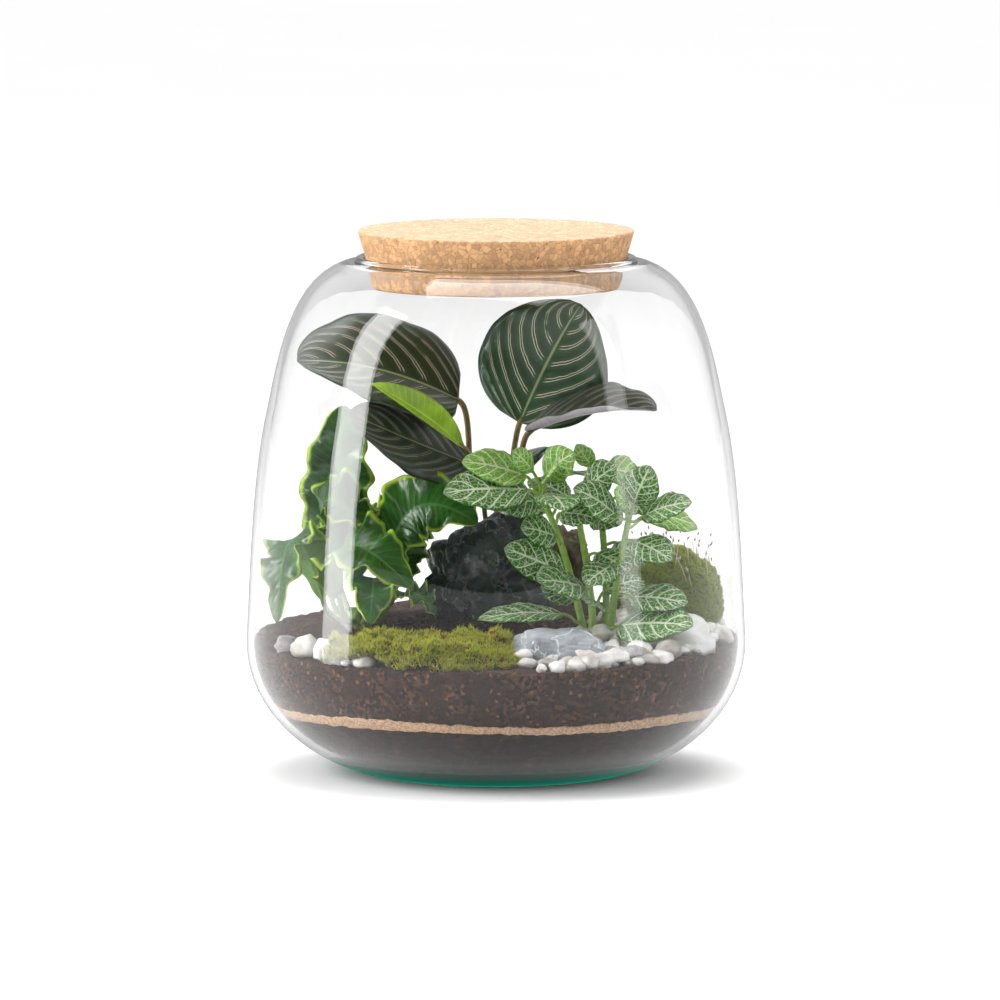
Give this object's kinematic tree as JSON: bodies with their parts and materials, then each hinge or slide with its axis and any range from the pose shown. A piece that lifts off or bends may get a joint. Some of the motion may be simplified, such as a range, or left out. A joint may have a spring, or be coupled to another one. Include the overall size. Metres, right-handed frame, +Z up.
{
  "type": "glass plant terrarium",
  "caption": "Closed plant terrarium: round clear glass jar with a tapered cork lid, soil layers with a sand stripe, mosses, stones, a calathea, a nest fern and nerve plants.",
  "frame": {"origin": "centre of the jar's flat foot, on the surface that it stands on", "axes": "+Z up along the jar's axis; the planted scene faces -Y; +X is to the right of a viewer who looks along +Y"},
  "size_m": [0.25, 0.25, 0.2715],
  "materials": {
    "glass": "clear",
    "cork": "matte",
    "soil": "matte",
    "sand": "matte",
    "carpet_moss": "matte",
    "cushion_moss": "matte",
    "black_stone": "satin",
    "brown_stone": "matte",
    "grey_stone": "matte",
    "white_stone": "satin",
    "calathea": "satin",
    "young_leaf": "satin",
    "fern": "gloss",
    "fittonia": "satin",
    "stem": "satin",
    "roots": "matte"
  },
  "bodies": {
    "root": {"glass_jar": "glass", "cork_lid": "cork", "lower_soil": "soil", "sand_layer": "sand", "upper_soil": "soil", "fern_root_ball": "roots", "calathea_root_ball": "roots", "fittonia_root_ball": "roots", "black_rock": "black_stone", "back_rock": "brown_stone", "grey_stone": "grey_stone", "white_stone": "white_stone", "left_pebble_1": "white_stone", "left_pebble_2": "white_stone", "right_pebble_1": "grey_stone", "right_pebble_2": "white_stone", "right_pebble_3": "grey_stone", "right_pebble_4": "white_stone", "carpet_moss": "carpet_moss", "cushion_moss": "cushion_moss", "fern_crown": "stem", "calathea_crown": "stem", "fittonia_stem_1": "stem", "fittonia_stem_2": "stem", "fittonia_stem_3": "stem", "fittonia_stem_4": "stem", "calathea_leaf_1": "calathea", "calathea_leaf_2": "calathea", "calathea_leaf_3": "calathea", "calathea_leaf_4": "calathea", "calathea_leaf_5": "young_leaf", "calathea_leaf_6": "calathea", "fern_frond_1": "fern", "fern_frond_2": "fern", "fern_frond_3": "fern", "fern_frond_4": "fern", "fern_frond_5": "fern", "fern_frond_6": "fern", "fern_frond_7": "fern", "fern_frond_8": "fern", "fern_frond_9": "fern", "fern_frond_10": "fern", "fittonia_leaf_1": "fittonia", "fittonia_leaf_2": "fittonia", "fittonia_leaf_3": "fittonia", "fittonia_leaf_4": "fittonia", "fittonia_leaf_5": "fittonia", "fittonia_leaf_6": "fittonia", "fittonia_leaf_7": "fittonia", "fittonia_leaf_8": "fittonia", "fittonia_leaf_9": "fittonia", "fittonia_leaf_10": "fittonia", "fittonia_leaf_11": "fittonia", "fittonia_leaf_12": "fittonia", "fittonia_leaf_13": "fittonia", "fittonia_leaf_14": "fittonia", "fittonia_leaf_15": "fittonia", "fittonia_leaf_16": "fittonia", "fittonia_leaf_17": "fittonia", "fittonia_leaf_18": "fittonia"}
  },
  "joints": []
}
